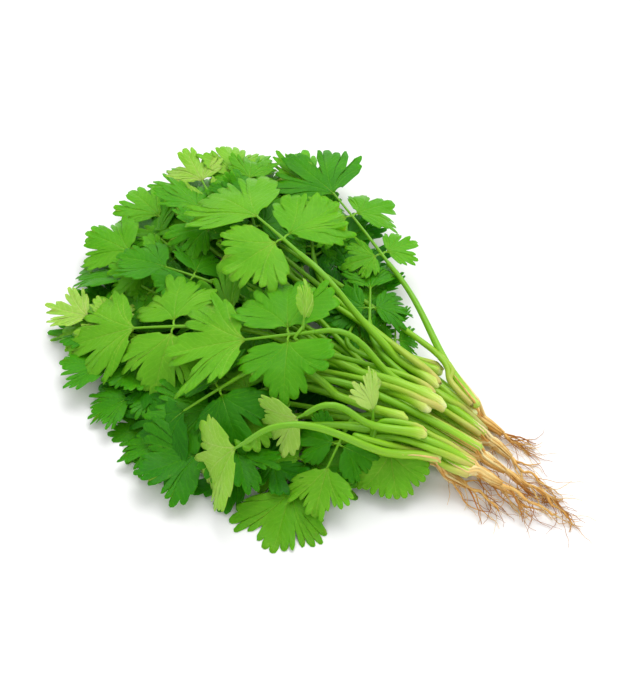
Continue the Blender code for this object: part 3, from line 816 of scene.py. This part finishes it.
def add_root(shape, line, stalks, rng):
    """A crown and its taproot, with side roots and hair roots."""
    rows = smooth_rows(line, ROOT_STEP)
    share = np.linspace(0, 1, len(rows))
    lumps = 1 + LUMPS * np.sin(share * 37 + rng.uniform(0, 6))
    lumps += rng.normal(0, ROUGHNESS, len(rows))
    # slimmer than the CAD root, whose width also holds the strands and hairs
    slim = np.interp(share, [0, 0.1, 0.3, 1], [0.62, 0.54, 0.35, 0.34])
    radii = rows[:, 3] * lumps * slim
    waver = np.sin(share * 21 + rng.uniform(0, 6)) * WAVER
    path = rows[:, :3] + np.outer(waver, [0, 1, 0.3])
    path[:, 2] = np.maximum(path[:, 2], radii * 1.12 + 0.05)
    brown = np.interp(share, [0, 0.12, 0.35, 1], [0.0, 0.14, 0.50, 0.62])
    add_tube(shape, path, radii, 18, 0, {"brown": brown}, ridges=6, depth=0.08)
    for stalk in stalks:
        add_strands(shape, stalk, rows, rng)
    ahead = unit(path[-1] - path[0])
    for _ in range(SIDE_ROOTS):
        at = rng.uniform(0.10, 0.9)
        start = path[int(at * (len(path) - 1))]
        turn = math.radians(rng.choice([-1, 1]) * rng.uniform(*SIDE_ROOT_TURN))
        heading = np.array([
            ahead[0] * math.cos(turn) - ahead[1] * math.sin(turn),
            ahead[0] * math.sin(turn) + ahead[1] * math.cos(turn),
            ahead[2] - 0.05,
        ])
        room = (1.1 - at) * np.linalg.norm(path[-1] - path[0])
        length = min(rng.uniform(*SIDE_ROOT_LENGTHS), room)
        side = smooth_rows(wander(start, heading, length, 10, 0.17, 0.05, rng), 1.5)
        thin = np.linspace(*SIDE_ROOT_RADII, len(side)) * rng.uniform(0.7, 1.15)
        add_tube(shape, side, thin, 8, 0, {"brown": rng.uniform(0.30, 0.95)})
        for _ in range(HAIRS_PER_SIDE_ROOT):
            begin = side[int(rng.uniform(0.3, 0.95) * (len(side) - 1))]
            add_hair(shape, begin, ahead, rng.uniform(*SHORT_HAIRS), rng)
    for _ in range(HAIRS):
        at = rng.uniform(0.05, 0.90)
        start = path[int(at * (len(path) - 1))]
        add_hair(shape, start, ahead, rng.uniform(*HAIR_LENGTHS), rng)


def add_hair(shape, start, ahead, length, rng):
    """A hair root that leaves its root roughly ahead."""
    heading = ahead + rng.normal(0, 0.26, 3) * [1, 1, 0.5]
    hair = wander(start, heading, length, 14, 0.18, 0.04, rng)
    radii = np.linspace(*HAIR_RADII, len(hair)) * rng.uniform(0.7, 1.2)
    add_tube(shape, hair, radii, 5, 0, {"brown": rng.uniform(0.35, 1.15)}, dome=0)


# ---- materials


class Recipe:
    """A node material put together line by line."""

    def __init__(self, name):
        self.material = bpy.data.materials.new(name)
        self.material.use_nodes = True
        self.tree = self.material.node_tree
        self.tree.nodes.clear()

    def node(self, kind, inputs=(), **settings):
        made = self.tree.nodes.new(kind)
        for name, value in settings.items():
            setattr(made, name, value)
        for key, value in dict(inputs).items():
            if isinstance(value, bpy.types.NodeSocket):
                self.tree.links.new(value, made.inputs[key])
            else:
                made.inputs[key].default_value = value
        return made

    def value(self, name):
        return self.node("ShaderNodeAttribute", attribute_name=name).outputs["Fac"]

    def worked(self, operation, a, b=0.0, clamp=False):
        made = self.node("ShaderNodeMath", {0: a, 1: b}, operation=operation, use_clamp=clamp)
        return made.outputs[0]

    add = partialmethod(worked, "ADD")
    less = partialmethod(worked, "SUBTRACT")
    times = partialmethod(worked, "MULTIPLY")

    def weighted(self, *parts):
        """The sum of values times their weights."""
        return reduce(self.add, [self.times(value, weight) for value, weight in parts])

    def either_way(self, value, depth):
        """A value of 0 to 1 as one of half the depth either way."""
        return self.times(self.less(value, 0.5), depth)

    def band(self, value, low, high):
        """0 below low and 1 above high, softly."""
        ends = {0: value, 1: low, 2: high}
        made = self.node("ShaderNodeMapRange", ends, interpolation_type="SMOOTHSTEP")
        return made.outputs[0]

    def mix(self, share, a, b):
        """The colour a at 0 to the colour b at 1."""
        made = self.node("ShaderNodeMix", {0: share, 6: a, 7: b}, data_type="RGBA")
        return made.outputs[2]

    def ramp(self, value, stops):
        """The colour at that value between the stops, each a place and a colour."""
        made = self.node("ShaderNodeValToRGB", {0: value})
        elements = made.color_ramp.elements
        elements[0].position, elements[0].color = stops[0]
        elements[1].position, elements[1].color = stops[-1]
        for place, colour in stops[1:-1]:
            added = elements.new(place)
            added.color = colour
        return made.outputs["Color"]

    def place(self):
        return self.node("ShaderNodeTexCoord").outputs["Object"]

    def noise(self, scale, detail=2.0):
        """Noise in space, with scale to the metre."""
        inputs = {"Vector": self.place(), "Scale": scale, "Detail": detail}
        return self.node("ShaderNodeTexNoise", inputs).outputs["Fac"]

    def streaks(self, scale, detail, stretch):
        """Noise drawn out along a stalk or root."""
        grain = self.node("ShaderNodeAttribute", attribute_name="grain").outputs["Vector"]
        inputs = {"Vector": grain, "Scale": stretch}
        vector = self.node("ShaderNodeMapping", inputs).outputs[0]
        inputs = {"Vector": vector, "Scale": scale, "Detail": detail}
        return self.node("ShaderNodeTexNoise", inputs).outputs["Fac"]

    def finish(self, colour, roughness, height, depth, shine=0.5, soft=()):
        """Ends in one Principled shader. The bump is depth m deep, and soft is the
        weight, radii and scale of its subsurface light."""
        bump = self.node("ShaderNodeBump", {"Height": height, "Strength": 1.0, "Distance": depth})
        inputs = {"Base Color": colour, "Roughness": roughness, "Normal": bump.outputs[0]}
        inputs["Specular IOR Level"] = shine
        for name, value in zip(("Weight", "Radius", "Scale"), soft):
            inputs[f"Subsurface {name}"] = value
        shader = self.node("ShaderNodeBsdfPrincipled", inputs)
        self.node("ShaderNodeOutputMaterial", {"Surface": shader.outputs[0]})
        return self.material


def rgb(r, g, b):
    """A colour written as it looks on a screen, 0 to 255, in Blender's linear values."""
    linear = [c / 3294.6 if c <= 10.31 else ((c / 255 + 0.055) / 1.055) ** 2.4 for c in (r, g, b)]
    return (*linear, 1.0)


# Side nerves of a leaflet: mm apart, how far back they slant, and how much they waver
NERVE_GAP, NERVE_SLANT, NERVE_WAVER = 3.4, 1.25, 5.0
NET_SCALE, NET_WIDTH = 620.0, 0.09  # the net of finest veins, as a Voronoi pattern


def leaf_material():
    m = Recipe("leaf_blade")
    fine, patches = m.noise(420, 3.0), m.noise(45)
    tone = m.add(m.value("tone"), m.either_way(patches, 0.30))
    off, width = m.value("vein_mm"), m.value("vein_width")
    across = m.worked("DIVIDE", off, m.add(width, 0.02))
    vein = m.less(1.0, across, clamp=True)
    slant = m.less(m.value("reach_mm"), m.times(off, NERVE_SLANT))
    waver = m.times(m.noise(150, 1.0), NERVE_WAVER)
    turns = m.times(m.add(slant, waver), 2 * math.pi / NERVE_GAP)
    nerve = m.band(m.worked("SINE", turns), 0.55, 1.0)
    inputs = {"Vector": m.place(), "Scale": NET_SCALE}
    cells = m.node("ShaderNodeTexVoronoi", inputs, feature="DISTANCE_TO_EDGE")
    net = m.less(1.0, m.band(cells.outputs["Distance"], 0.0, NET_WIDTH))
    lines = m.weighted((vein, 0.13), (nerve, 0.05), (net, 0.03))
    colour = m.ramp(m.add(tone, lines), [
        (0.0, rgb(15, 76, 0)),
        (0.15, rgb(38, 114, 0)),
        (0.35, rgb(64, 142, 0)),
        (0.50, rgb(86, 160, 12)),
        (0.65, rgb(108, 176, 28)),
        (0.80, rgb(138, 190, 52)),
        (1.0, rgb(180, 212, 104)),
    ])
    colour = m.mix(m.times(fine, 0.20), colour, rgb(34, 110, 4))
    under = m.value("under")
    colour = m.mix(m.times(under, 0.4), colour, rgb(144, 190, 66))
    sunk = m.weighted((vein, 0.30), (nerve, 0.16), (net, 0.12))
    height = m.less(m.times(fine, 0.8), sunk)
    roughness = m.add(m.times(under, 0.2), 0.36)
    roughness = m.add(m.times(fine, 0.16), roughness)
    soft = (0.45, (0.55, 1.0, 0.15), 0.0011)
    return m.finish(colour, roughness, height, depth=0.00028, shine=0.13, soft=soft)


def stalk_material():
    m = Recipe("stalk_skin")
    streaks = m.streaks(2.2, 3.0, (2.6, 2.6, 0.05))
    spots = m.noise(120)
    shift = m.either_way(streaks, 0.36)
    pale = m.add(m.value("bleach"), shift, clamp=True)
    colour = m.ramp(pale, [
        (0.0, rgb(78, 150, 8)),
        (0.30, rgb(120, 184, 18)),
        (0.55, rgb(156, 204, 40)),
        (0.80, rgb(206, 224, 108)),
        (1.0, rgb(236, 240, 176)),
    ])
    tan = m.mix(streaks, rgb(214, 194, 104), rgb(160, 130, 58))
    patchy = m.band(m.add(spots, shift), 0.10, 0.55)
    rusty = m.times(m.value("brown"), patchy, clamp=True)
    colour = m.mix(rusty, colour, tan)
    height = m.weighted((streaks, 0.7), (spots, 0.3))
    roughness = m.add(m.times(spots, 0.14), 0.30)
    soft = (0.30, (0.8, 1.0, 0.3), 0.0012)
    return m.finish(colour, roughness, height, depth=0.00025, shine=0.38, soft=soft)


def root_material():
    m = Recipe("root_skin")
    streaks = m.streaks(2.4, 4.0, (2.0, 2.0, 0.22))
    spots = m.noise(260, 3.0)
    stain = m.add(m.value("brown"), m.either_way(streaks, 0.7))
    stain = m.add(stain, m.either_way(spots, 0.5), clamp=True)
    colour = m.ramp(stain, [
        (0.0, rgb(246, 230, 172)),
        (0.35, rgb(242, 206, 130)),
        (0.65, rgb(226, 170, 86)),
        (1.0, rgb(172, 106, 40)),
    ])
    height = m.weighted((streaks, 0.8), (spots, 0.6))
    roughness = m.add(m.times(spots, 0.2), 0.62)
    soft = (0.12, (1.0, 0.7, 0.4), 0.0010)
    return m.finish(colour, roughness, height, depth=0.0004, shine=0.25, soft=soft)


def floor_material():
    m = Recipe("floor_paint")
    grain = m.noise(30)
    colour = m.mix(grain, rgb(246, 246, 246), rgb(250, 250, 250))
    roughness = m.add(m.times(grain, 0.05), 0.7)
    return m.finish(colour, roughness, grain, depth=0.00001)


# ---- building all

leaf_skin, stalk_skin, root_skin = leaf_material(), stalk_material(), root_material()


def keep(piece, node):
    """The piece rides on the bunch, and the CAD node whose place it takes is hidden."""
    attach(piece, "root")
    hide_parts(node)


crowns = {name: root_line(name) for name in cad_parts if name.startswith("root")}
joined = {name: [] for name in crowns}


def crown_of(line):
    """The name of the crown that a stalk grows from, if it has one."""
    far = {name: np.linalg.norm(line[-1, :3] - crown[0, :3]) for name, crown in crowns.items()}
    nearest = min(far, key=far.get)
    return nearest if far[nearest] < CROWN_REACH and not is_loose(line) else None


leaves = [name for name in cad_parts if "leaf" in name]
lines = {}
for name in sorted(leaves, key=number_of):
    number = number_of(name)
    stalk = f"stalk_{number:02d}"
    line = stalk_line(stalk, node_shape(name)[0])
    lines[number] = line
    leaf = leaf_frame(name, line[0, :3])
    rng = np.random.default_rng(LEAF_SEED + number)
    shape = Shape()
    add_leaf(shape, leaf, kind_of(name), LOOKS[name], rng)
    keep(shape.piece(f"fine_{name}", [leaf_skin, stalk_skin]), name)
    crown = crown_of(line)
    if crown:
        joined[crown].append(line)
        line = into_crown(line, crowns[crown])
    shape = Shape()
    add_stalk(shape, line, rng)
    keep(shape.piece(f"fine_{stalk}", [stalk_skin]), stalk)

for name, crown in sorted(crowns.items()):
    rng = np.random.default_rng(ROOT_SEED + number_of(name))
    shape = Shape()
    add_root(shape, crown, joined[name], rng)
    keep(shape.piece(f"fine_{name}", [root_skin]), name)

low, high = (np.array(corner) for corner in cad_box)
middle = (low + high) / 2  # in m
for first in range(0, len(SIDE_LEAVES), SIDE_LEAVES_PER_PIECE):
    shape = Shape()
    for i, row in enumerate(SIDE_LEAVES[first : first + SIDE_LEAVES_PER_PIECE]):
        side = SideLeaf(*row)
        rng = np.random.default_rng(SIDE_SEED + first + i)
        add_side_leaf(shape, side, lines[side.host], middle / MM, rng)
    name = f"side_leaves_{first // SIDE_LEAVES_PER_PIECE + 1}"
    piece = shape.piece(name, [leaf_skin, stalk_skin])
    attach(piece, "root")


# ---- floor, light, camera

# In metres, degrees and watts
FLOOR_CORNERS = [(-4, -4, 0), (4, -4, 0), (4, 4, 0), (-4, 4, 0)]
KEY_TURN, KEY_RISE, KEY_DISTANCE = 190, 60, 1.4
KEY_SIZE, KEY_POWER = 1.1, 11.5
WORLD_STRENGTH = 0.90
CAMERA_TURN, CAMERA_RISE, CAMERA_DISTANCE = 30, 50, 0.8
CAMERA_TARGET = (-0.008, -0.002, -0.015)  # from the middle of the CAD box
CAMERA_LENS, SENSOR_WIDTH = 90, 36  # mm

floor_mesh = bpy.data.meshes.new("floor")
floor_mesh.from_pydata(FLOOR_CORNERS, [], [(0, 1, 2, 3)])
floor_mesh.materials.append(floor_material())
floor = new_object("floor", floor_mesh)


def aim(obj, place, target):
    """Puts obj at place with its -Z axis at target."""
    back = unit(np.array(place) - target)
    right = unit(np.cross([0, 0, 1], back))
    above = np.cross(back, right)
    turned_to = Matrix(np.stack([right, above, back], 1).tolist()).to_4x4()
    obj.matrix_world = Matrix.Translation(place) @ turned_to


def around(turn, rise, distance):
    """The place at that azimuth, elevation and distance."""
    turn, rise = math.radians(turn), math.radians(rise)
    return distance * np.array(
        [math.sin(turn) * math.cos(rise), -math.cos(turn) * math.cos(rise), math.sin(rise)]
    )


key_data = bpy.data.lights.new("key", "AREA")
key_data.shape = "DISK"
key_data.size = KEY_SIZE
key_data.energy = KEY_POWER
key = new_object("key", key_data)
aim(key, middle + around(KEY_TURN, KEY_RISE, KEY_DISTANCE), middle)

world = bpy.data.worlds.new("studio")
world.use_nodes = True
sky = world.node_tree.nodes["Background"].inputs
sky["Color"].default_value = (1, 1, 1, 1)
sky["Strength"].default_value = WORLD_STRENGTH
bpy.context.scene.world = world
bpy.context.scene.view_settings.view_transform = "Standard"

camera_data = bpy.data.cameras.new("camera")
camera_data.lens = CAMERA_LENS
camera_data.sensor_width = SENSOR_WIDTH
camera_data.sensor_fit = "HORIZONTAL"
camera = new_object("camera", camera_data)
target = middle + CAMERA_TARGET
aim(camera, target + around(CAMERA_TURN, CAMERA_RISE, CAMERA_DISTANCE), target)
bpy.context.scene.camera = camera
